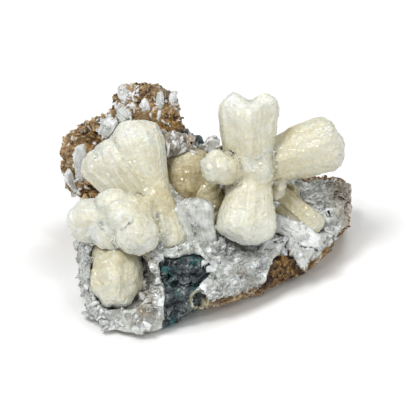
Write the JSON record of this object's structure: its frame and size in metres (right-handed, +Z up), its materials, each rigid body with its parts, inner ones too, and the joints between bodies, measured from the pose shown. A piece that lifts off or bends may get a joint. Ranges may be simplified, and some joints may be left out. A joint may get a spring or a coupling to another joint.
{
  "type": "stilbite specimen",
  "caption": "Cream stilbite sheaves and bow ties with white plates and a sparkling druse crust on a broken piece of iron-stained basalt, resting flat on its base.",
  "frame": {"origin": "on the ground, below the middle of the specimen's bounding box", "axes": "+X across the display face from left to right, the longest extent; +Y to the back; +Z up"},
  "size_m": [0.1184, 0.0894, 0.0765],
  "materials": {
    "basalt": "iron-stained brown, pitted, dull, with dark blue-grey fresh basalt at the front",
    "stilbite": "cream, pearly, fine sugary grain with small glints",
    "plate": "white, pearly, finely striated",
    "druse": "grey-white, translucent, sparkling"
  },
  "bodies": {
    "root": {"basalt_matrix": "basalt", "druse_crust": "druse", "stilbite_left_cluster": "stilbite", "stilbite_center_cluster": "stilbite", "stilbite_lower_sheaf": "stilbite", "stilbite_back_sheaf": "stilbite", "stilbite_mid_sheaf": "stilbite", "stilbite_white_fan": "plate", "stilbite_right_blade": "stilbite", "plate_left_tall": "plate", "plate_left_low": "plate", "plate_wall_left": "plate", "plate_wall_middle": "plate", "plate_top_left": "plate", "plate_top_middle": "plate", "plate_top_right": "plate", "plate_top_edge": "plate", "plate_back": "plate", "plate_right_long": "plate", "plate_right_point": "plate"}
  },
  "joints": []
}
